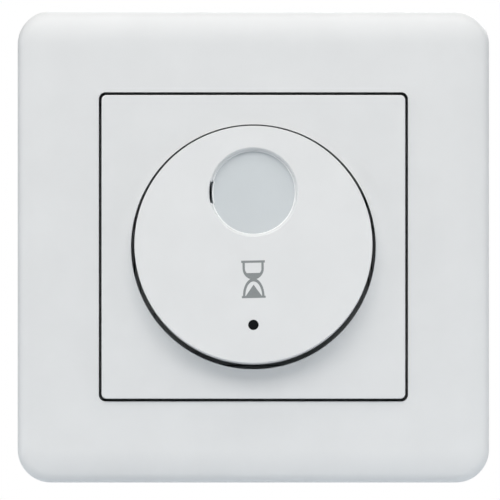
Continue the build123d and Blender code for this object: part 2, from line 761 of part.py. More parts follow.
# Terminal cover: closes the chambers from behind and leads the wires in
with BuildPart() as terminal_cover:
    with BuildSketch(at(-housing_depth)):
        with Locations((0, -(wire_drop + (terminal_cover_drop - terminal_cover_rise) / 2))):
            Rectangle(
                2 * (chamber_side - terminal_cover_side_margin - slip_clearance),
                terminal_cover_rise + terminal_cover_drop - 2 * slip_clearance,
            )
        with GridLocations(terminal_pitch, 0, terminal_count, 1):
            with Locations((0, -wire_drop)):
                Circle(wire_entry_diameter / 2, mode=Mode.SUBTRACT)
    extrude(amount=housing_floor)
    entry_rims = (
        terminal_cover.edges()
        .filter_by(GeomType.CIRCLE)
        .filter_by(lambda edge: edge.center().Y > housing_depth - wire_entry_chamfer)
    )
    chamfer(entry_rims, wire_entry_chamfer)
terminal_cover.part.label = "terminal_cover"
export_step(terminal_cover.part, "parts/terminal_cover.step")

# Fixed contact bars, each with a tail to the power board
bar_low = -(terminal_depth + cage_depth / 2)
with BuildPart() as terminal_bars:
    with BuildSketch(Plane.XY.offset(-bar_back_drop)):
        bar_length = -bar_low + power_board_back - bar_tail_length
        with GridLocations(terminal_pitch, 0, terminal_count, 1):
            with Locations((0, -bar_low - bar_length / 2)):
                Rectangle(bar_width, bar_length)
            with Locations((0, -power_board_back + bar_tail_length / 2)):
                Rectangle(bar_tail_width, bar_tail_length)
    extrude(amount=bar_thickness)
terminal_bars.part.label = "terminal_bars"
export_step(terminal_bars.part, "parts/terminal_bars.step")

# Rising cages and their screws, one pair for each wire
for number, place in enumerate(terminal_places, start=1):
    cage_height = cage_bottom_drop - cage_top_drop
    with BuildPart() as terminal_cage:
        with BuildSketch(at(bar_low)):
            with Locations((place, -cage_bottom_drop + cage_height / 2)):
                Rectangle(cage_width, cage_height)
            window_height = cage_height - cage_nut_wall - cage_far_wall
            with Locations((place, -cage_bottom_drop + cage_nut_wall + window_height / 2)):
                Rectangle(cage_width - 2 * cage_side_wall, window_height, mode=Mode.SUBTRACT)
        extrude(amount=cage_depth)
        with BuildSketch(Plane.XY.offset(-cage_bottom_drop)):
            with Locations((place, terminal_depth)):
                Circle(terminal_screw_diameter / 2 + running_clearance)
        extrude(amount=cage_nut_wall, mode=Mode.SUBTRACT)
    terminal_cage.part.label = f"terminal_cage_{number}"
    export_step(terminal_cage.part, f"parts/terminal_cage_{number}.step")

    with BuildPart() as terminal_screw:
        with BuildSketch(Plane.XY.offset(-screw_head_drop)):
            with Locations((place, terminal_depth)):
                Circle(terminal_screw_head_diameter / 2)
        extrude(amount=terminal_screw_head_height)
        with BuildSketch(Plane.XY.offset(-screw_seat_drop)):
            with Locations((place, terminal_depth)):
                Circle(terminal_screw_diameter / 2)
        extrude(amount=screw_seat_drop - bar_back_drop - running_clearance)
        with BuildSketch(Plane.XY.offset(-screw_head_drop)):
            with Locations((place, terminal_depth)):
                Rectangle(terminal_screw_head_diameter, terminal_slot_width)
        extrude(amount=terminal_slot_depth, mode=Mode.SUBTRACT)
    terminal_screw.part.label = f"terminal_screw_{number}"
    export_step(terminal_screw.part, f"parts/terminal_screw_{number}.step")

# Control board: sits on the housing's ledges under the insert cover's spigot
with BuildPart() as control_board:
    with BuildSketch(at(control_board_back)):
        cut_square(board_side, board_corner_radius, board_diameter)
    extrude(amount=board_thickness)
control_board.part.label = "control_board"
export_step(control_board.part, "parts/control_board.step")

# Push switch: body, pressed-on cover plate and plunger with a flange under that plate
switch_top = control_board_height + switch_body_height
flange_top = switch_top - slip_clearance
pressed_tilt = radians(button_rest_tilt - button_press_angle)
pressed_touch_height = button_height_at(actuator_touch_rise, actuator_level, pressed_tilt)
plunger_travel = plunger_height + plunger_gap - pressed_touch_height
switch_cavity_height = flange_top - plunger_flange_thickness - plunger_travel - plunger_overtravel
print(f"switch plunger: pressed by {plunger_travel:.3f} mm")

with BuildPart() as switch_body:
    with BuildSketch(at(control_board_height)):
        with Locations((0, -switch_drop)):
            RectangleRounded(switch_side, switch_side, switch_corner_radius)
    extrude(amount=switch_body_height)
    with BuildSketch(at(switch_cavity_height)):
        with Locations((0, -switch_drop)):
            Circle(switch_cavity_diameter / 2)
    extrude(amount=switch_body_height, mode=Mode.SUBTRACT)
switch_body.part.label = "switch_body"
export_step(switch_body.part, "parts/switch_body.step")

with BuildPart() as switch_cover:
    with BuildSketch(at(switch_top)):
        with Locations((0, -switch_drop)):
            RectangleRounded(switch_side, switch_side, switch_corner_radius)
            Circle(plunger_diameter / 2 + slip_clearance, mode=Mode.SUBTRACT)
    extrude(amount=switch_cover_thickness)
switch_cover.part.label = "switch_cover"
export_step(switch_cover.part, "parts/switch_cover.step")

with BuildPart() as switch_plunger:
    with BuildSketch(at(flange_top - plunger_flange_thickness)):
        with Locations((0, -switch_drop)):
            Circle(plunger_flange_diameter / 2)
    extrude(amount=plunger_flange_thickness)
    with BuildSketch(at(flange_top)):
        with Locations((0, -switch_drop)):
            Circle(plunger_diameter / 2)
    extrude(amount=plunger_height - flange_top)
switch_plunger.part.label = "switch_plunger"
export_step(switch_plunger.part, "parts/switch_plunger.step")

# Return spring: one wire coiled round the two spigots
spring_seat = cover_height
spring_top_height = button_height_at(spring_diameter / 2 - spring_drop, button_inner_level)
spring_mean_radius = (spring_diameter - spring_wire) / 2
spring_room = spring_top_height - spring_seat - spring_wire - 3 * slip_clearance
spring_pitch = spring_room / spring_turns
spring_start = spring_seat + spring_wire / 2 + slip_clearance
spans_per_turn = 4


def spring_point(turns):
    """Point of the spring's centre line and its direction of travel after a number of turns."""
    angle = 2 * pi * turns
    point = Vector(
        spring_mean_radius * cos(angle),
        -spring_start - spring_pitch * turns,
        -spring_drop + spring_mean_radius * sin(angle),
    )
    rise_per_radian = spring_pitch / (2 * pi)
    travel = Vector(-spring_mean_radius * sin(angle), -rise_per_radian, spring_mean_radius * cos(angle))
    return point, travel.normalized()


with BuildPart() as return_spring:
    with BuildLine() as spring_line:
        for span in range(spring_turns * spans_per_turn):
            start, start_travel = spring_point(span / spans_per_turn)
            end, end_travel = spring_point((span + 1) / spans_per_turn)
            chord = end - start
            both_travels = start_travel + end_travel
            spread = 2 * (1 - start_travel.dot(end_travel))
            along = chord.dot(both_travels)
            reach = (sqrt(along * along + spread * chord.dot(chord)) - along) / spread
            start_handle = start + start_travel * reach
            end_handle = end - end_travel * reach
            middle = (start_handle + end_handle) / 2
            TangentArc(start, middle, tangent=start_travel)
            TangentArc(middle, end, tangent=end_handle - start_handle)
    with BuildSketch(Plane(origin=spring_line.line @ 0, z_dir=spring_line.line % 0)):
        RegularPolygon(spring_wire / 2, spring_wire_sides)
    sweep(path=spring_line.line)
return_spring.part.label = "return_spring"
export_step(return_spring.part, "parts/return_spring.step")
print(f"return spring: least gap between turns {spring_pitch - spring_wire:.2f} mm")

# Light guide under the window, held by its flange behind the cover's front wall
with BuildPart() as window_light_guide:
    with BuildSketch(at(control_board_height + lamp_height + guide_gap)):
        with Locations((0, window_rise)):
            Circle(guide_diameter / 2)
    extrude(amount=guide_height - control_board_height - lamp_height - guide_gap)
    with BuildSketch(at(cover_inner_height - guide_flange_thickness)):
        with Locations((0, window_rise)):
            Circle(guide_diameter / 2 + guide_flange_width)
    extrude(amount=guide_flange_thickness)
window_light_guide.part.label = "window_light_guide"
export_step(window_light_guide.part, "parts/window_light_guide.step")

# Lamps: two under the window, one under the dark indicator
with BuildPart() as window_leds:
    with BuildSketch(at(control_board_height)):
        with GridLocations(lamp_spacing, 0, 2, 1):
            with Locations((0, window_rise)):
                Rectangle(lamp_width, lamp_length)
    extrude(amount=lamp_height)
window_leds.part.label = "window_leds"
export_step(window_leds.part, "parts/window_leds.step")

with BuildPart() as indicator_led:
    with BuildSketch(at(control_board_height)):
        with Locations((0, -indicator_drop)):
            Rectangle(lamp_length, lamp_width)
    extrude(amount=lamp_height)
indicator_led.part.label = "indicator_led"
export_step(indicator_led.part, "parts/indicator_led.step")

# Timer controller: flat package with legs on two sides
with BuildPart() as controller_chip:
    with BuildSketch(at(control_board_height + chip_leg_thickness)):
        with Locations((chip_offset, -chip_drop)):
            Rectangle(chip_side - 2 * chip_leg_length, chip_side)
    extrude(amount=chip_height)
    with BuildSketch(at(control_board_height)):
        with Locations((chip_offset, -chip_drop)):
            with GridLocations(0, chip_leg_pitch, 1, chip_legs_per_side):
                Rectangle(chip_side, chip_leg_width)
    extrude(amount=chip_leg_thickness)
controller_chip.part.label = "controller_chip"
export_step(controller_chip.part, "parts/controller_chip.step")

# Pin header between the boards
header_length = header_pins_count * header_pitch
with BuildPart() as pin_header:
    with BuildSketch(at(control_board_back - header_body_height)):
        with Locations((0, header_rise)):
            Rectangle(header_length, header_pitch)
            with GridLocations(header_pitch, 0, header_pins_count, 1):
                pin_hole = header_pin_width + 2 * pin_clearance
                Rectangle(pin_hole, pin_hole, mode=Mode.SUBTRACT)
    extrude(amount=header_body_height)
pin_header.part.label = "pin_header"
export_step(pin_header.part, "parts/pin_header.step")

with BuildPart() as header_pins:
    with BuildSketch(at(power_board_height)):
        with Locations((0, header_rise)):
            with GridLocations(header_pitch, 0, header_pins_count, 1):
                Rectangle(header_pin_width, header_pin_width)
    extrude(amount=control_board_back - power_board_height)
header_pins.part.label = "header_pins"
export_step(header_pins.part, "parts/header_pins.step")

# Power board and the parts that stand on it
with BuildPart() as power_board:
    with BuildSketch(at(power_board_back)):
        cut_square(board_side, board_corner_radius, board_diameter)
    extrude(amount=board_thickness)
power_board.part.label = "power_board"
export_step(power_board.part, "parts/power_board.step")

with BuildPart() as relay:
    with BuildSketch(at(power_board_height)):
        with Locations((relay_offset, -relay_drop)):
            Rectangle(relay_length, relay_width)
    extrude(amount=relay_height)
    chamfer(relay.faces().sort_by(Axis.Y)[0].edges(), case_edge_chamfer)
relay.part.label = "relay"
export_step(relay.part, "parts/relay.step")

with BuildPart() as film_capacitor:
    with BuildSketch(at(power_board_height)):
        with Locations((film_offset, -film_drop)):
            Rectangle(film_length, film_width)
    extrude(amount=film_height)
    chamfer(film_capacitor.edges().filter_by(Axis.Y), case_edge_chamfer)
film_capacitor.part.label = "film_capacitor"
export_step(film_capacitor.part, "parts/film_capacitor.step")

with BuildPart() as electrolytic_capacitors:
    with BuildSketch(at(power_board_height)):
        with Locations((electrolytic_offset, electrolytic_rise)):
            with GridLocations(0, electrolytic_spacing, 1, 2):
                Circle(electrolytic_diameter / 2)
    extrude(amount=electrolytic_height)
    chamfer(electrolytic_capacitors.faces().sort_by(Axis.Y)[:2].edges(), electrolytic_rim_chamfer)
electrolytic_capacitors.part.label = "electrolytic_capacitors"
export_step(electrolytic_capacitors.part, "parts/electrolytic_capacitors.step")

with BuildPart() as varistor:
    varistor_height = power_board_height + varistor_standoff + varistor_diameter / 2
    with BuildSketch(Plane.YZ.offset(varistor_offset - varistor_thickness / 2)):
        with Locations((-varistor_height, varistor_rise)):
            Circle(varistor_diameter / 2)
        with Locations((-(power_board_height + varistor_height) / 2, varistor_rise)):
            Rectangle(varistor_height - power_board_height, varistor_lead_width)
    extrude(amount=varistor_thickness)
varistor.part.label = "varistor"
export_step(varistor.part, "parts/varistor.step")

with BuildPart() as fuse:
    with BuildSketch(at(power_board_height)):
        with Locations((fuse_offset, fuse_rise)):
            Circle(fuse_diameter / 2)
    extrude(amount=fuse_height)
    chamfer(fuse.faces().sort_by(Axis.Y)[0].edges(), case_edge_chamfer)
fuse.part.label = "fuse"
export_step(fuse.part, "parts/fuse.step")

with BuildPart() as supply_choke:
    with BuildSketch(at(power_board_height)):
        with Locations((choke_offset, choke_rise)):
            Circle(choke_diameter / 2)
    extrude(amount=choke_height)
    with BuildSketch(at(power_board_height + choke_flange_height)):
        with Locations((choke_offset, choke_rise)):
            Circle(choke_diameter / 2)
            Circle(choke_core_diameter / 2 + choke_flange_height / 2, mode=Mode.SUBTRACT)
    extrude(amount=choke_height - 2 * choke_flange_height, mode=Mode.SUBTRACT)
supply_choke.part.label = "supply_choke"
export_step(supply_choke.part, "parts/supply_choke.step")
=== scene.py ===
"""Timer light switch: finishes, printed sign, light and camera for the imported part."""
import json
from math import atan2, cos, hypot, pi, radians, sin, sqrt, tau

import bmesh
import bpy
from mathutils import Matrix, Vector
from mathutils.geometry import delaunay_2d_cdt


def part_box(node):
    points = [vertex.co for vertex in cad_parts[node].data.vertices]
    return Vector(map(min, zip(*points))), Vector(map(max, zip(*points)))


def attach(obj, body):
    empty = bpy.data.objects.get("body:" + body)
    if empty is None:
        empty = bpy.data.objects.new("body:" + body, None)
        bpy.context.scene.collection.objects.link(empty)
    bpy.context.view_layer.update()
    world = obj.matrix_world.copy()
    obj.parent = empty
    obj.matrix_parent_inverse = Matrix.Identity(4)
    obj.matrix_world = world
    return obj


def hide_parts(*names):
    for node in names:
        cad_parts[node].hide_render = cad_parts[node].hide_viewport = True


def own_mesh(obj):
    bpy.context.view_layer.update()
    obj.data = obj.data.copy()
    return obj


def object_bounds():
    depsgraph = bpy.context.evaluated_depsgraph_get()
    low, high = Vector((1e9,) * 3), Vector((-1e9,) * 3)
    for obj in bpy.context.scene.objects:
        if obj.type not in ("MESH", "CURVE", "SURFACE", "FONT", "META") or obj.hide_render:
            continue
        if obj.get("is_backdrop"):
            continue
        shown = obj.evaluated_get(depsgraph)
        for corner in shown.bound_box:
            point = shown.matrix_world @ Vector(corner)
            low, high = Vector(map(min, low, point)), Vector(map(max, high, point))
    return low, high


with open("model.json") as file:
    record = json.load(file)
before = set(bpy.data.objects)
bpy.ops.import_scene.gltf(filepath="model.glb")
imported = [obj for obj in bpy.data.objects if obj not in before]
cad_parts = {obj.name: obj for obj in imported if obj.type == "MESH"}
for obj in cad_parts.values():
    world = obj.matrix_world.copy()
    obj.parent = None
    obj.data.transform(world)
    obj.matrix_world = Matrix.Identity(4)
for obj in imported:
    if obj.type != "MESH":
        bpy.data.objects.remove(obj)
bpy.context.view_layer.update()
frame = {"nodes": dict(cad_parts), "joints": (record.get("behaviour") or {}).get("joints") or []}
nodes = frame["nodes"]
MM = 0.001

# Tilt and place of the push button, read from its hinge and its face
REST_TILT = radians(4.3)
HINGE = Vector(next(joint["pos_m"] for joint in frame["joints"] if joint["name"] == "button_press"))
FACE_LEVEL = 5.9 * MM
BUTTON_OUTWARD = Vector((0, -cos(REST_TILT), sin(REST_TILT)))
BUTTON_UPWARD = Vector((0, sin(REST_TILT), cos(REST_TILT)))


def linear(colour):
    """An sRGB hex colour as linear red, green, blue and alpha."""
    shares = [int(colour[start:start + 2], 16) / 255 for start in (1, 3, 5)]
    return [s / 12.92 if s <= 0.04045 else ((s + 0.055) / 1.055) ** 2.4 for s in shares] + [1]


def add(tree, kind, sockets=None, **settings):
    """One shader node with its settings, and its sockets given a value or a link."""
    made = tree.nodes.new("ShaderNode" + kind)
    for name, value in settings.items():
        setattr(made, name, value)
    for name, value in (sockets or {}).items():
        if isinstance(value, bpy.types.NodeSocket):
            tree.links.new(value, made.inputs[name])
        else:
            made.inputs[name].default_value = value
    return made


def new_material(name):
    """An empty node material and its output."""
    material = bpy.data.materials.new(name)
    material.use_nodes = True
    material.node_tree.nodes.clear()
    return material, material.node_tree, add(material.node_tree, "OutputMaterial")


def finish(output, shader):
    output.id_data.links.new(shader.outputs[0], output.inputs["Surface"])


def grain(tree, size, detail=2.0):
    """Noise whose lumps are about as large as a size in metres."""
    place = add(tree, "TexCoord")
    return add(tree, "TexNoise", {"Vector": place.outputs["Object"], "Scale": 1 / size, "Detail": detail})


def tone(tree, factor, low, high):
    """Colour that runs between two hex colours as a factor goes from 0 to 1."""
    ramp = add(tree, "ValToRGB", {"Fac": factor})
    ramp.color_ramp.elements[0].position = 0.3
    ramp.color_ramp.elements[1].position = 0.7
    ramp.color_ramp.elements[0].color = linear(low)
    ramp.color_ramp.elements[1].color = linear(high)
    return ramp.outputs["Color"]


def span(tree, factor, low, high):
    """Number that runs between two values as a factor goes from 0.3 to 0.7."""
    return add(tree, "MapRange", {
        "Value": factor, "From Min": 0.3, "From Max": 0.7, "To Min": low, "To Max": high,
    }).outputs["Result"]


def moulded(
    name, low, high, roughness, grain_size, grain_depth, painted_gap_shade=None, shade=(4 * MM, 0.02, 0.22), **more,
):
    """Injection-moulded plastic: the mould's fine spark grain, a faint change of tone and of gloss.

    A real mould's grain is near 0.08 mm. It is drawn three times as coarse or more, so that it shows.
    With a gap shade colour, the deep joints between mouldings get painted shade: the colour darkens where
    an occlusion test finds them closed in.
    """
    material, tree, output = new_material(name)
    flow = grain(tree, 9 * MM, 3.0)
    colour = tone(tree, flow.outputs["Fac"], low, high)
    # Painted shade: the colour runs towards the gap shade colour where ambient occlusion finds the surface
    # closed in
    if painted_gap_shade:
        depth = add(tree, "AmbientOcclusion", {"Distance": shade[0]}, samples=8)
        open_share = add(tree, "MapRange", {
            "Value": depth.outputs["AO"], "From Min": shade[1], "From Max": shade[2],
        })
        open_share = open_share.outputs["Result"]
        mixed = add(tree, "Mix", {0: open_share, 6: linear(painted_gap_shade), 7: colour}, data_type="RGBA")
        colour = mixed.outputs[2]
    spark = grain(tree, grain_size, 3.0)
    bump = add(tree, "Bump", {"Height": spark.outputs["Fac"], "Distance": grain_depth, "Strength": 1.0})
    shader = add(tree, "BsdfPrincipled", {
        "Base Color": colour,
        "Roughness": span(tree, spark.outputs["Fac"], roughness - 0.05, roughness + 0.05),
        "Normal": bump.outputs["Normal"],
        **more,
    })
    finish(output, shader)
    return material


def rolled_metal(name, low, high, roughness, line_width, along, depth=0.0015 * MM):
    """Cold-rolled or drawn metal: fine lines one way, and the gloss broken along them.

    Real lines are near 0.01 mm apart. They are drawn three to five times as wide, so that they show.
    """
    material, tree, output = new_material(name)
    place = add(tree, "TexCoord")
    stretch = [1 / line_width] * 3
    stretch["xyz".index(along)] = 1 / (60 * line_width)
    lines = add(tree, "Mapping", {"Vector": place.outputs["Object"], "Scale": stretch})
    drawn = add(tree, "TexNoise", {"Vector": lines.outputs["Vector"], "Scale": 1.0, "Detail": 3.0})
    cloud = grain(tree, 6 * MM, 3.0)
    bump = add(tree, "Bump", {"Height": drawn.outputs["Fac"], "Distance": depth, "Strength": 1.0})
    shader = add(tree, "BsdfPrincipled", {
        "Base Color": tone(tree, cloud.outputs["Fac"], low, high),
        "Metallic": 1.0,
        "Roughness": span(tree, drawn.outputs["Fac"], roughness - 0.08, roughness + 0.08),
        "Normal": bump.outputs["Normal"],
    })
    finish(output, shader)
    return material


def lacquered_laminate():
    """Glass-fibre circuit board under green lacquer: the weave shows through, tracks stand up a little."""
    material, tree, output = new_material("lacquered_laminate")
    place = add(tree, "TexCoord")
    weave = [
        add(tree, "TexWave", {"Vector": place.outputs["Object"], "Scale": 1 / (0.45 * MM) / 20},
            bands_direction=direction).outputs["Fac"]
        for direction in ("X", "Z")
    ]
    cloth = add(tree, "Math", {0: weave[0], 1: weave[1]}, operation="MULTIPLY")
    flat = add(tree, "Mapping", {"Vector": place.outputs["Object"], "Rotation": (pi / 2, 0, 0)})
    tracks = add(tree, "TexBrick", {
        "Vector": flat.outputs["Vector"],
        "Scale": 1.0, "Brick Width": 5.2 * MM, "Row Height": 1.3 * MM, "Mortar Size": 0.28 * MM,
        "Mortar Smooth": 0.2, "Color1": (0, 0, 0, 1), "Color2": (0, 0, 0, 1), "Mortar": (1, 1, 1, 1),
    }, offset=0.37)
    ground = tone(tree, cloth.outputs[0], "#1C6A45", "#24764E")
    colour = add(tree, "Mix", {0: tracks.outputs["Fac"], 6: ground, 7: linear("#3C9765")}, data_type="RGBA")
    bump = add(tree, "Bump", {"Height": tracks.outputs["Fac"], "Distance": 0.03 * MM, "Strength": 1.0})
    shader = add(tree, "BsdfPrincipled", {
        "Base Color": colour.outputs[2], "Roughness": 0.32, "Coat Weight": 0.4, "Coat Roughness": 0.15,
        "Normal": bump.outputs["Normal"],
    })
    finish(output, shader)
    return material


def clear_moulded(name, colour, roughness, transmission):
    """Clear or frosted moulded plastic: light goes through and comes back soft."""
    material, tree, output = new_material(name)
    spark = grain(tree, 0.25 * MM, 2.0)
    bump = add(tree, "Bump", {"Height": spark.outputs["Fac"], "Distance": 0.002 * MM, "Strength": 1.0})
    shader = add(tree, "BsdfPrincipled", {
        "Base Color": linear(colour),
        "Roughness": span(tree, spark.outputs["Fac"], roughness - 0.03, roughness + 0.03),
        "IOR": 1.49,
        "Transmission Weight": transmission,
        "Normal": bump.outputs["Normal"],
    })
    finish(output, shader)
    return material


def sleeved_can():
    """Aluminium can in a shrunk dark sleeve, its bare scored lid in front."""
    material, tree, output = new_material("sleeved_aluminium_can")
    facing = add(tree, "NewGeometry")
    axes = add(tree, "SeparateXYZ", {"Vector": facing.outputs["Normal"]})
    lid = add(tree, "Math", {0: axes.outputs["Y"], 1: -0.9}, operation="LESS_THAN")
    wrinkle = grain(tree, 0.8 * MM, 3.0)
    bump = add(tree, "Bump", {"Height": wrinkle.outputs["Fac"], "Distance": 0.01 * MM, "Strength": 1.0})
    sleeve = tone(tree, wrinkle.outputs["Fac"], "#232831", "#2B313B")
    colour = add(tree, "Mix", {0: lid.outputs[0], 6: sleeve, 7: linear("#C9CBCD")}, data_type="RGBA")
    shader = add(tree, "BsdfPrincipled", {
        "Base Color": colour.outputs[2], "Metallic": lid.outputs[0], "Roughness": 0.38,
        "Normal": bump.outputs["Normal"],
    })
    finish(output, shader)
    return material


def printing_ink():
    """Pad-printed grey ink: flat, a little duller than the moulding under it.

    The speckle of a real print is near 0.03 mm. It is drawn four times as coarse, so that it shows.
    """
    material, tree, output = new_material("pad_printed_ink")
    speckle = grain(tree, 0.12 * MM, 2.0)
    shader = add(tree, "BsdfPrincipled", {
        "Base Color": tone(tree, speckle.outputs["Fac"], "#878C8D", "#8E9394"),
        "Roughness": 0.5,
    })
    finish(output, shader)
    return material


def coil_copper():
    """Ferrite core wound with enamelled wire: red-brown turns between dark flanges."""
    material, tree, output = new_material("wound_ferrite")
    place = add(tree, "TexCoord")
    turns = add(tree, "TexWave", {"Vector": place.outputs["Object"], "Scale": 1 / (0.35 * MM) / 20},
                bands_direction="Y")
    axes = add(tree, "SeparateXYZ", {"Vector": place.outputs["Object"]})
    low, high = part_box("supply_choke")
    flange = 1.4 * MM
    inside = add(tree, "Math", {
        0: axes.outputs["Y"], 1: (low.y + high.y) / 2, 2: (high.y - low.y) / 2 - flange,
    }, operation="COMPARE")
    wire = tone(tree, turns.outputs["Fac"], "#6E3218", "#A4562C")
    colour = add(tree, "Mix", {0: inside.outputs[0], 6: linear("#26272A"), 7: wire}, data_type="RGBA")
    bump = add(tree, "Bump", {"Height": turns.outputs["Fac"], "Distance": 0.04 * MM, "Strength": 1.0})
    shader = add(tree, "BsdfPrincipled", {
        "Base Color": colour.outputs[2], "Roughness": 0.4, "Normal": bump.outputs["Normal"],
    })
    finish(output, shader)
    return material


def dress(material, *names):
    """The material on every slot of these CAD nodes, or of pieces that stand for them."""
    for name in names:
        target = nodes[name] if isinstance(name, str) else name
        target.data.materials.clear()
        target.data.materials.append(material)


# Finishes, each named for what the piece is made of and how it was made

# Weatherproof white, moulded: a soft satin sheen on the pillow edges, with painted shade down in the joints
white_asa = moulded(
    "moulded_white_asa", "#E4E6E7", "#E7E9EA", 0.4, 0.22 * MM, 0.0022 * MM,
    painted_gap_shade="#54595E", **{"Specular IOR Level": 0.35},
)
# Glass-filled grey tub: duller, with a coarser spark grain that breaks up its highlights
grey_polyamide = moulded("moulded_grey_polyamide", "#A4A8AA", "#ABAFB1", 0.5, 0.35 * MM, 0.006 * MM)
# Insert cover, seen only down in the gaps: matt, so that it glows faintly and never glints
dark_polyamide = moulded("moulded_dark_polyamide", "#BCC0C2", "#C4C8CA", 0.5, 0.35 * MM, 0.006 * MM)
# Pressed phenolic: near black with a dim, even gloss
black_phenolic = moulded("pressed_black_phenolic", "#151617", "#1B1C1D", 0.42, 0.4 * MM, 0.005 * MM)
# Plunger: creamy white, a little waxy
white_acetal = moulded("turned_white_acetal", "#DEDED8", "#E4E4DE", 0.36, 0.3 * MM, 0.003 * MM)
# Relay: deep blue case with a satin skin
relay_case = moulded("moulded_blue_relay_case", "#15244A", "#1A2B55", 0.4, 0.3 * MM, 0.003 * MM)
# Film capacitor: ochre box, satin
film_case = moulded("moulded_yellow_capacitor_case", "#C29A2A", "#CBA334", 0.42, 0.3 * MM, 0.003 * MM)
# Dipped epoxy: glossy blue with the slow waves of a coat that ran before it set
varistor_coat = moulded("dipped_blue_epoxy", "#1E4F8C", "#265A9A", 0.28, 0.9 * MM, 0.02 * MM)
# Small lamps: warm cream resin, smooth
lamp_body = moulded("moulded_lamp_package", "#E2DDC4", "#EAE6D0", 0.3, 0.2 * MM, 0.002 * MM)
# Smoked light guide: a dark polished dot that shows hardly any grain
smoked_guide = moulded(
    "polished_smoked_polycarbonate", "#101214", "#131517", 0.12, 0.5 * MM, 0.0005 * MM,
    **{"Specular IOR Level": 0.15},
)
# Frosted window: cool grey, with painted shade round the edge of its recess, darker where an occlusion test
# finds it closed in
window_face = moulded(
    "frosted_window_polycarbonate", "#D0D6D9", "#D3D9DC", 0.2, 0.3 * MM, 0.001 * MM,
    painted_gap_shade="#8E979D", shade=(1.6 * MM, 0.3, 0.75),
)
# Polished edge of the window: real gloss, and a near-white colour, lighter than the window's grey, as a
# painted highlight, so that it shows as a thin bright line
painted_lens_highlight = moulded(
    "painted_highlight_lens_edge", "#F6F9FA", "#FAFCFD", 0.16, 0.3 * MM, 0.0005 * MM,
    **{"Specular IOR Level": 1.0},
)
# Light guide block: clear, with light standing in its polished sides
clear_acrylic = clear_moulded("polished_clear_acrylic", "#F4F8FA", 0.06, 0.92)
# Zinc plate on rolled steel: cloudy grey-white, the rolling lines breaking its gloss
zinc_steel = rolled_metal("zinc_plated_rolled_steel", "#B3B7BB", "#C3C7CB", 0.32, 0.05 * MM, "x")
# Bright drawn pins and pressed cap: cleaner and shinier than the strap
bright_steel = rolled_metal("bright_drawn_steel", "#BDBDBE", "#C9C9CA", 0.24, 0.03 * MM, "x")
# Spring wire: darker steel, drawn
spring_steel = rolled_metal("drawn_spring_steel", "#8D9094", "#A2A5A9", 0.3, 0.03 * MM, "y")
# Stamped brass bars and pins: warm yellow with lines along the strip
rolled_brass = rolled_metal("stamped_rolled_brass", "#C4A052", "#D2B062", 0.3, 0.05 * MM, "y")
# Nickelled cages: silver with a warm cast from the brass under it
nickel_brass = rolled_metal("nickel_plated_brass", "#BDB9AE", "#CBC7BC", 0.26, 0.05 * MM, "y")

dress(smoked_guide, "indicator_guide")
dress(clear_acrylic, "window_light_guide")
dress(zinc_steel, "insert_screws", *[f"terminal_screw_{i}" for i in range(1, 5)])
dress(nickel_brass, *[f"terminal_cage_{i}" for i in range(1, 5)])
dress(rolled_brass, "terminal_bars", "header_pins")
dress(bright_steel, "hinge_pins", "switch_cover")
dress(spring_steel, "return_spring")
dress(black_phenolic, "switch_body", "controller_chip", "pin_header", "fuse")
dress(white_acetal, "switch_plunger")
dress(lamp_body, "window_leds", "indicator_led")
dress(lacquered_laminate(), "control_board", "power_board")
dress(relay_case, "relay")
dress(film_case, "film_capacitor")
dress(varistor_coat, "varistor")
dress(sleeved_can(), "electrolytic_capacitors")
dress(coil_copper(), "supply_choke")


def softened(name, body, material, width, segments=3, pierced=False):
    """A finer copy of a CAD node: flat facets joined, and every sharp edge rounded over a width.

    A pierced wall is left in triangles, because one large face would close over its holes.
    """
    mesh = nodes[name].data.copy()
    mesh.name = name + "_finished"
    shape = bmesh.new()
    shape.from_mesh(mesh)
    bmesh.ops.remove_doubles(shape, verts=shape.verts, dist=0.001 * MM)
    bmesh.ops.dissolve_limit(shape, angle_limit=radians(0.2), verts=shape.verts, edges=shape.edges)
    if pierced:
        bmesh.ops.triangulate(shape, faces=shape.faces, quad_method="BEAUTY", ngon_method="BEAUTY")
    for face in shape.faces:
        face.smooth = True
    for layer in list(shape.loops.layers.float_vector):
        shape.loops.layers.float_vector.remove(layer)
    shape.to_mesh(mesh)
    shape.free()
    piece = bpy.data.objects.new(name + "_finished", mesh)
    bpy.context.scene.collection.objects.link(piece)
    dress(material, piece)
    rounding = piece.modifiers.new("rounding", "BEVEL")
    rounding.limit_method = "ANGLE"
    rounding.angle_limit = radians(25)
    rounding.width = width
    rounding.segments = segments
    rounding.miter_outer = "MITER_ARC"
    rounding.use_clamp_overlap = False
    normals = piece.modifiers.new("normals", "WEIGHTED_NORMAL")
    normals.weight = 100
    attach(piece, body)
    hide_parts(name)
    return piece


softened("insert_cover", "root", dark_polyamide, 0.2 * MM, 2, pierced=True)
softened("rear_housing", "root", grey_polyamide, 0.25 * MM, 2, pierced=True)
softened("terminal_cover", "root", grey_polyamide, 0.2 * MM, 2)
softened("support_strap", "root", zinc_steel, 0.12 * MM, 2)


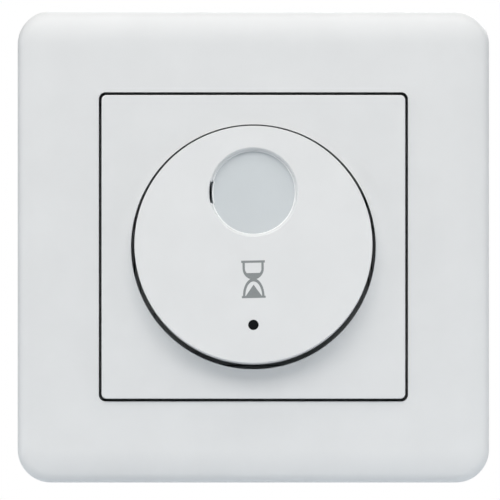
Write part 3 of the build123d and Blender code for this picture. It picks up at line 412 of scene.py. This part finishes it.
def coiled_spring():
    """The return spring as round wire, closer turns at both ends."""
    low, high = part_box("return_spring")
    wire = 0.5 * MM
    turns = 4
    steps = 36 * turns
    centre = (low + high) / 2
    radius = (high.x - low.x - wire) / 2
    seat = high.y - wire / 2
    rise = high.y - low.y - wire
    curve = bpy.data.curves.new("return_spring_wire", "CURVE")
    curve.dimensions = "3D"
    curve.bevel_depth = wire / 2
    curve.bevel_resolution = 4
    curve.use_fill_caps = True
    spline = curve.splines.new("POLY")
    spline.points.add(steps)
    for step, point in enumerate(spline.points):
        share = step / steps
        angle = turns * tau * share
        climb = share - 0.12 * sin(tau * share) / tau
        point.co = (
            centre.x + radius * cos(angle), seat - rise * climb, centre.z + radius * sin(angle), 1,
        )
    drawn = bpy.data.objects.new("return_spring_drawn", curve)
    bpy.context.scene.collection.objects.link(drawn)
    bpy.context.view_layer.update()
    mesh = bpy.data.meshes.new_from_object(drawn.evaluated_get(bpy.context.evaluated_depsgraph_get()))
    bpy.data.objects.remove(drawn)
    shape = bmesh.new()
    shape.from_mesh(mesh)
    bmesh.ops.remove_doubles(shape, verts=shape.verts, dist=0.0001 * MM)
    shape.to_mesh(mesh)
    shape.free()
    spring = bpy.data.objects.new("return_spring_finished", mesh)
    bpy.context.scene.collection.objects.link(spring)
    for face in mesh.polygons:
        face.use_smooth = True
    dress(spring_steel, spring)
    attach(spring, "root")
    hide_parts("return_spring")
    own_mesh(spring)
    return spring


coiled_spring()


# Sizes of the visible mouldings in millimetres, as the solids have them
FRAME_HALF = 42.5
FRAME_CORNER = 6.0
FRAME_HEIGHT = 9.6
CROWN_RADIUS = 14.0
EDGE_RADIUS = 2.5
APERTURE_HALF = 27.9
APERTURE_CORNER = 1.3
PLATE_HALF = 27.3
PLATE_CORNER = 0.9
PLATE_HEIGHT = 10.4
PLATE_HOLE = 22.05
RIM = 0.3
CRISP_RIM = 0.12
APERTURE_LIP = 0.1
HOLE_LIP = 0.06
PLATE_RIM = 0.2
DISC_RADIUS = 21.35
DISC_LEVEL = 5.9
DISC_CHAMFER = 0.5
DISC_RIM = 0.12
WINDOW_RISE = 9.4
WINDOW_RIM = ((8.1, 8.1, 5.9), (8.04, 8.08, 5.88), (7.83, 8.02, 5.62))
WINDOW_WALL = ((7.79, 5.5), (7.7, 4.95), (7.62, 4.79), (7.55, 4.3))
NOTCH_RADIUS = 7.97
NOTCH_HALF = 2.0
DOT_RISE = -14.5
DOT_RIM = ((0.98, 5.9), (0.945, 5.888), (0.925, 5.86), (0.92, 5.8))
LENS_RADIUS = 7.665
LENS_NOTCH = 7.45
LENS_LEVEL = 4.65
LENS_FOOT = 4.4
BEAD_RADIUS = 0.13


def on_wall(across, rise, level):
    """Point of the frame or the plate from millimetres across, up and out of the wall."""
    return Vector((across, -level, rise)) * MM


def on_button(across, rise, level):
    """The same for a point of the tilted button, measured from its centre."""
    up = BUTTON_UPWARD * (rise * MM - HINGE.z)
    return HINGE + Vector((across * MM, 0, 0)) + up + BUTTON_OUTWARD * level * MM


def round_outline(radius, rise=0.0, steps=180):
    turns = [2 * pi * step / steps for step in range(steps)]
    return [(radius * cos(turn), rise + radius * sin(turn)) for turn in turns]


def window_outline(radius, notch_radius, steps=240):
    """Round outline of the window with the pry notch at its left, at another radius."""
    points = []
    for across, rise in round_outline(1.0, 0.0, steps):
        notched = across < 0 and abs(rise) * notch_radius < NOTCH_HALF
        reach = notch_radius if notched else radius
        points.append((across * reach, WINDOW_RISE + rise * reach))
    return points


def square_outline(half, corner, steps=14):
    """Rounded square, anticlockwise, with the same number of points at every size."""
    points = []
    for quarter in range(4):
        towards = quarter * pi / 2 + pi / 4
        middle = [(half - corner) * (1 if part > 0 else -1) for part in (cos(towards), sin(towards))]
        for step in range(steps + 1):
            turn = (quarter + step / steps) * pi / 2
            points.append((middle[0] + corner * cos(turn), middle[1] + corner * sin(turn)))
    return points


def outer_rounding(outline, radius, level, steps=8):
    """Rings over an outside edge, from the side up to the face; outline takes an inset."""
    turns = [pi / 2 * step / steps for step in range(steps + 1)]
    return [(outline(radius * (1 - cos(turn))), level - radius * (1 - sin(turn))) for turn in turns]


def inner_rounding(outline, radius, level, steps=8):
    """Rings over a hole's edge, from the face down into the hole; outline takes an outset."""
    turns = [pi / 2 * step / steps for step in range(steps + 1)]
    return [(outline(radius * (1 - sin(turn))), level - radius * (1 - cos(turn))) for turn in turns]


def refaced(name, body, material, place, outer, holes, dropped, cut=None):
    """A CAD node whose seen face is built anew: fine rings over its edges and one flat face.

    The rings run from the outside inwards. The faces of the node that are dropped make room.
    """
    outward = (place(0, 0, 1) - place(0, 0, 0)).normalized()
    shape = bmesh.new()
    shape.from_mesh(nodes[name].data)
    bmesh.ops.remove_doubles(shape, verts=shape.verts, dist=0.001 * MM)
    if cut is not None:
        everything = list(shape.verts) + list(shape.edges) + list(shape.faces)
        bmesh.ops.bisect_plane(
            shape, geom=everything, plane_co=place(0, 0, cut), plane_no=outward, clear_outer=True,
        )
    old = [face for face in shape.faces if dropped(face.calc_center_median() / MM)]
    bmesh.ops.delete(shape, geom=old, context="FACES")
    for face in shape.faces:
        face.smooth = False
    made, flat_verts, flat_points, flat_edges, owners = [], [], [], [], []
    for rings, flat_ring in [(outer, -1)] + [(rings, 0) for rings in holes]:
        rows = [[shape.verts.new(place(*point, level)) for point in outline] for outline, level in rings]
        for row, next_row in zip(rows, rows[1:]):
            for index in range(len(row)):
                after = (index + 1) % len(row)
                shape.faces.new((row[index], row[after], next_row[after], next_row[index])).smooth = True
        made += [vert for row in rows for vert in row]
        count, first = len(rows[flat_ring]), len(flat_verts)
        flat_edges += [(first + index, first + (index + 1) % count) for index in range(count)]
        flat_verts += rows[flat_ring]
        owners += [first] * count
        flat_points += [Vector(point) for point in rings[flat_ring][0]]
    # Every hole is convex, so a triangle lies in one when all its corners do
    flat = delaunay_2d_cdt(flat_points, flat_edges, [], 1, 0.00001)
    for corners in flat[2]:
        sources = [flat[3][corner][0] for corner in corners]
        inside = {owners[source] for source in sources}
        if not holes or inside == {0} or len(inside) > 1:
            shape.faces.new([flat_verts[source] for source in sources]).smooth = False
    flat_places = {tuple(round(part / MM, 4) for part in vert.co) for vert in flat_verts}
    bmesh.ops.remove_doubles(shape, verts=made, dist=0.0001 * MM)
    mesh = bpy.data.meshes.new(name + "_finished")
    shape.to_mesh(mesh)
    shape.free()
    normals = [Vector((0, 0, 0))] * len(mesh.loops)
    for polygon in mesh.polygons:
        for loop in polygon.loop_indices:
            spot = mesh.vertices[mesh.loops[loop].vertex_index].co
            if polygon.use_smooth and tuple(round(part / MM, 4) for part in spot) in flat_places:
                normals[loop] = outward
    mesh.normals_split_custom_set(normals)
    piece = bpy.data.objects.new(name + "_finished", mesh)
    bpy.context.scene.collection.objects.link(piece)
    dress(material, piece)
    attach(piece, body)
    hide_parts(name)
    return piece


def frame_rings():
    """The frame's outside: side, tight edge and large crown, up to the flat middle."""
    across = FRAME_CORNER - EDGE_RADIUS
    crown_centre = FRAME_HEIGHT - CROWN_RADIUS
    step_radius = CROWN_RADIUS - EDGE_RADIUS
    edge_centre = crown_centre + sqrt(step_radius**2 - across**2)
    joint = atan2(edge_centre - crown_centre, across)
    section = [(FRAME_CORNER, 0.0)]
    for step in range(13):
        turn = joint * step / 12
        section.append((across + EDGE_RADIUS * cos(turn), edge_centre + EDGE_RADIUS * sin(turn)))
    for step in range(1, 9):
        turn = joint + (pi / 2 - joint) * step / 8
        section.append((CROWN_RADIUS * cos(turn), crown_centre + CROWN_RADIUS * sin(turn)))
    straight = FRAME_HALF - FRAME_CORNER
    return [(square_outline(straight + out, max(out, 0.0), 24), level) for out, level in section]


def frame_dropped(centre):
    """True for the frame's outside, its front and the rim of its aperture."""
    wide, high = abs(centre.x), abs(centre.z)
    straight = FRAME_HALF - FRAME_CORNER
    inset = FRAME_HALF - max(wide, high)
    if min(wide, high) > straight:
        inset = FRAME_CORNER - hypot(wide - straight, high - straight)
    aperture_wall = max(wide, high) < APERTURE_HALF + 0.1 and centre.y > RIM - FRAME_HEIGHT - 0.01
    return (inset < 1.9 and centre.y < -0.01) or (centre.y < -7.81 and not aperture_wall)


def disc_dropped(centre):
    """True for what is left of the button's edge chamfer, and for the wall of the window's recess."""
    from_hinge = centre - HINGE / MM
    level = from_hinge.dot(BUTTON_OUTWARD)
    rise = from_hinge.dot(BUTTON_UPWARD) + HINGE.z / MM
    rim = level > DISC_LEVEL - DISC_CHAMFER and hypot(centre.x, rise) > DISC_RADIUS - DISC_CHAMFER
    return rim or (level > WINDOW_WALL[-1][1] + 0.01 and hypot(centre.x, rise - WINDOW_RISE) < NOTCH_RADIUS)


refaced(
    "cover_frame", "root", white_asa, on_wall, frame_rings(),
    [
        inner_rounding(
            lambda out: square_outline(
                APERTURE_HALF - APERTURE_LIP + out, APERTURE_CORNER - APERTURE_LIP + out,
            ),
            CRISP_RIM, FRAME_HEIGHT,
        )
        + [(square_outline(APERTURE_HALF, APERTURE_CORNER), FRAME_HEIGHT - RIM)]
    ],
    frame_dropped,
)
refaced(
    "centre_plate", "root", white_asa, on_wall,
    [(square_outline(PLATE_HALF, PLATE_CORNER), PLATE_HEIGHT - RIM)]
    + outer_rounding(
        lambda inset: square_outline(PLATE_HALF - inset, PLATE_CORNER - inset), PLATE_RIM, PLATE_HEIGHT,
    ),
    [
        inner_rounding(lambda out: round_outline(PLATE_HOLE - HOLE_LIP + out), CRISP_RIM, PLATE_HEIGHT)
        + [(round_outline(PLATE_HOLE), PLATE_HEIGHT - RIM)]
    ],
    lambda centre: centre.y < RIM - PLATE_HEIGHT - 0.01,
)
refaced(
    "button_disc", "push_button", white_asa, on_button,
    [(round_outline(DISC_RADIUS), DISC_LEVEL - DISC_CHAMFER)]
    + outer_rounding(lambda inset: round_outline(DISC_RADIUS - inset), DISC_RIM, DISC_LEVEL),
    [
        [(window_outline(radius, notch), level) for radius, notch, level in WINDOW_RIM]
        + [(window_outline(radius, NOTCH_RADIUS), level) for radius, level in WINDOW_WALL],
        [(round_outline(radius, DOT_RISE, 48), level) for radius, level in DOT_RIM],
    ],
    disc_dropped, cut=WINDOW_RIM[-1][2],
)
refaced(
    "window_lens", "push_button", window_face, on_button,
    [
        (window_outline(LENS_NOTCH, LENS_NOTCH), LENS_FOOT),
        (window_outline(LENS_RADIUS, LENS_NOTCH), LENS_FOOT),
    ]
    + outer_rounding(
        lambda inset: window_outline(LENS_RADIUS - inset, LENS_NOTCH - inset), 0.06, LENS_LEVEL, 3,
    ),
    [], lambda centre: False, cut=LENS_FOOT,
)


def window_bead():
    """Fine polished bead along the window's edge, where the clear moulding turns down."""
    shape = bmesh.new()
    turns = [2 * pi * step / 12 for step in range(12)]
    rows = [
        [
            shape.verts.new(on_button(*point, LENS_LEVEL + BEAD_RADIUS * sin(turn)))
            for point in window_outline(
                *(edge - BEAD_RADIUS * (1 - cos(turn)) for edge in (LENS_RADIUS, LENS_NOTCH))
            )
        ]
        for turn in turns
    ]
    for row, next_row in zip(rows, rows[1:] + rows[:1]):
        for index in range(len(row)):
            after = (index + 1) % len(row)
            shape.faces.new((row[index], row[after], next_row[after], next_row[index])).smooth = True
    mesh = bpy.data.meshes.new("window_bead")
    shape.to_mesh(mesh)
    shape.free()
    piece = bpy.data.objects.new("window_bead", mesh)
    bpy.context.scene.collection.objects.link(piece)
    # The bead wears the lighter copy of the window's finish: a painted highlight along the edge
    dress(painted_lens_highlight, piece)
    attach(piece, "push_button")


window_bead()


def arc(centre_z, half_width, half_height, start, end, steps=24):
    """Points of an ellipse about the sign's axis between two angles in degrees."""
    turns = [radians(start + (end - start) * step / steps) for step in range(steps + 1)]
    return [(half_width * cos(turn), centre_z + half_height * sin(turn)) for turn in turns]


def mirrored(points):
    return [(-x, z) for x, z in reversed(points)]


def hourglass():
    """The hourglass sign, printed on the button: outline, empty upper glass, space round the sand."""
    bulb_end = -90 + 18.4
    arch_end = 90 - 18.2
    right = [(2.14, -3.37), (2.14, -3.0)]
    right += arc(-3.0, 1.92, 3.16, 0, arch_end)
    right += arc(1.95, 1.9, 2.0, bulb_end, 0)
    right += [(1.9, 2.96), (2.12, 2.96), (2.12, 3.37)]
    upper = arc(1.9, 1.48, 1.27, -37.8, 0) + [(1.48, 2.96)]
    lower = arc(-3.0, 1.5, 2.6, 0, 90)
    loops = [
        right + mirrored(right),
        upper + mirrored(upper),
        lower + mirrored(lower)[1:] + [(-1.43, -3.0), (0, -0.96), (1.43, -3.0)],
    ]
    curve = bpy.data.curves.new("hourglass_print", "CURVE")
    curve.dimensions = "2D"
    curve.fill_mode = "BOTH"
    curve.extrude = 0.006 * MM
    for loop in loops:
        spline = curve.splines.new("POLY")
        spline.points.add(len(loop) - 1)
        for point, (x, z) in zip(spline.points, loop):
            point.co = (x * MM, z * MM, 0, 1)
        spline.use_cyclic_u = True
    drawn = bpy.data.objects.new("hourglass_drawn", curve)
    bpy.context.scene.collection.objects.link(drawn)
    bpy.context.view_layer.update()
    mesh = bpy.data.meshes.new_from_object(drawn.evaluated_get(bpy.context.evaluated_depsgraph_get()))
    bpy.data.objects.remove(drawn)
    sign = bpy.data.objects.new("hourglass_print", mesh)
    bpy.context.scene.collection.objects.link(sign)
    lean = radians(1.2)
    drop = 6.3 * MM
    across = Vector((1, 0, 0))
    centre = HINGE - BUTTON_UPWARD * (HINGE.z + drop) + BUTTON_OUTWARD * (FACE_LEVEL + 0.004 * MM)
    turn = Matrix((across, BUTTON_UPWARD, BUTTON_OUTWARD)).transposed() @ Matrix.Rotation(lean, 3, "Z")
    sign.data.transform(Matrix.Translation(centre) @ turn.to_4x4())
    dress(printing_ink(), sign)
    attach(sign, "push_button")
    return sign


hourglass()


def floor_finish():
    """Pale matt board that fades into the white surroundings towards its rim, for the camera alone."""
    material, tree, output = new_material("pale_matt_board")
    place = add(tree, "TexCoord")
    distance = add(tree, "VectorMath", {0: place.outputs["Object"]}, operation="LENGTH")
    fade = add(tree, "MapRange", {
        "Value": distance.outputs["Value"], "From Min": 0.06, "From Max": 0.17, "To Min": 0.45,
    })
    seen = add(tree, "LightPath")
    seen = seen.outputs["Is Camera Ray"]
    share = add(tree, "Math", {0: fade.outputs["Result"], 1: seen}, operation="MULTIPLY")
    board = add(tree, "BsdfPrincipled", {"Base Color": linear("#D2D7DC"), "Roughness": 0.9})
    white = add(tree, "Emission", {"Color": (1, 1, 1, 1), "Strength": 1.0})
    mixed = add(tree, "MixShader", {0: share.outputs[0], 1: board.outputs[0], 2: white.outputs[0]})
    finish(output, mixed)
    return material


def floor():
    """Round pale board a little below the switch."""
    low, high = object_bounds()
    mesh = bpy.data.meshes.new("floor")
    shape = bmesh.new()
    bmesh.ops.create_circle(shape, cap_ends=True, segments=96, radius=0.2)
    shape.to_mesh(mesh)
    shape.free()
    board = bpy.data.objects.new("floor", mesh)
    board.location = (0, (low[1] + high[1]) / 2, low[2] - 25 * MM)
    bpy.context.scene.collection.objects.link(board)
    dress(floor_finish(), board)
    board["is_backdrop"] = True


floor()


def surroundings():
    """World: white to the camera and through clear pieces, a soft cool grey as light."""
    world = bpy.data.worlds.new("studio")
    bpy.context.scene.world = world
    world.use_nodes = True
    tree = world.node_tree
    tree.nodes.clear()
    path = add(tree, "LightPath")
    seen = add(tree, "Math", {0: path.outputs["Is Camera Ray"], 1: path.outputs["Is Transmission Ray"]},
               operation="MAXIMUM")
    white = add(tree, "Background", {"Color": (1, 1, 1, 1), "Strength": 1.0})
    place = add(tree, "TexCoord")
    axes = add(tree, "SeparateXYZ", {"Vector": place.outputs["Generated"]})
    height = add(tree, "MapRange", {"Value": axes.outputs["Z"], "From Min": -0.8, "From Max": 0.9})
    sky = add(tree, "ValToRGB", {"Fac": height.outputs["Result"]})
    sky.color_ramp.elements[0].color = linear("#808E9E")
    sky.color_ramp.elements[1].color = linear("#F4F5F6")
    sky.color_ramp.elements.new(0.5).color = linear("#F4F8FB")
    soft = add(tree, "Background", {"Color": sky.outputs["Color"], "Strength": 0.34})
    mixed = add(tree, "MixShader", {0: seen.outputs[0], 1: soft.outputs[0], 2: white.outputs[0]})
    output = add(tree, "OutputWorld")
    tree.links.new(mixed.outputs[0], output.inputs["Surface"])


surroundings()


def lamp(name, place, size, power, colour="#FFFFFF"):
    """Soft box at a place in metres, facing the switch."""
    light = bpy.data.lights.new(name, "AREA")
    light.shape = "RECTANGLE"
    light.size, light.size_y = size
    light.energy = power
    light.color = linear(colour)[:3]
    box = bpy.data.objects.new(name, light)
    box.location = place
    box.rotation_euler = (Vector((0, 0, 0)) - Vector(place)).to_track_quat("-Z", "Y").to_euler()
    bpy.context.scene.collection.objects.link(box)


lamp("key_softbox", (-0.03, -0.42, 0.40), (0.8, 0.24), 2.35, "#FFFCF9")
lamp("left_panel", (-0.72, -0.2, 0.05), (0.4, 0.4), 0.9)
lamp("right_panel", (0.72, -0.2, 0.05), (0.4, 0.4), 0.85)
lamp("back_fill", (0.3, 0.75, 0.5), (0.8, 0.5), 5.5)
lamp("top_strip", (0.0, -0.17, 0.42), (0.5, 0.1), 0.38, "#FFFCF9")


def camera():
    """Straight-on camera with a long lens; the frame fills the picture as in the photograph."""
    distance = 1.2
    view_width = 90.38 * MM
    lens = bpy.data.cameras.new("camera")
    lens.sensor_width = 36.0
    lens.lens = 36.0 * distance / view_width
    lens.clip_end = 10
    eye = bpy.data.objects.new("camera", lens)
    eye.location = (-0.61 * MM, -distance - 4 * MM, -0.56 * MM)
    eye.rotation_euler = (pi / 2, 0, 0)
    bpy.context.scene.collection.objects.link(eye)
    bpy.context.scene.camera = eye


camera()
bpy.context.scene.view_settings.view_transform = "Standard"
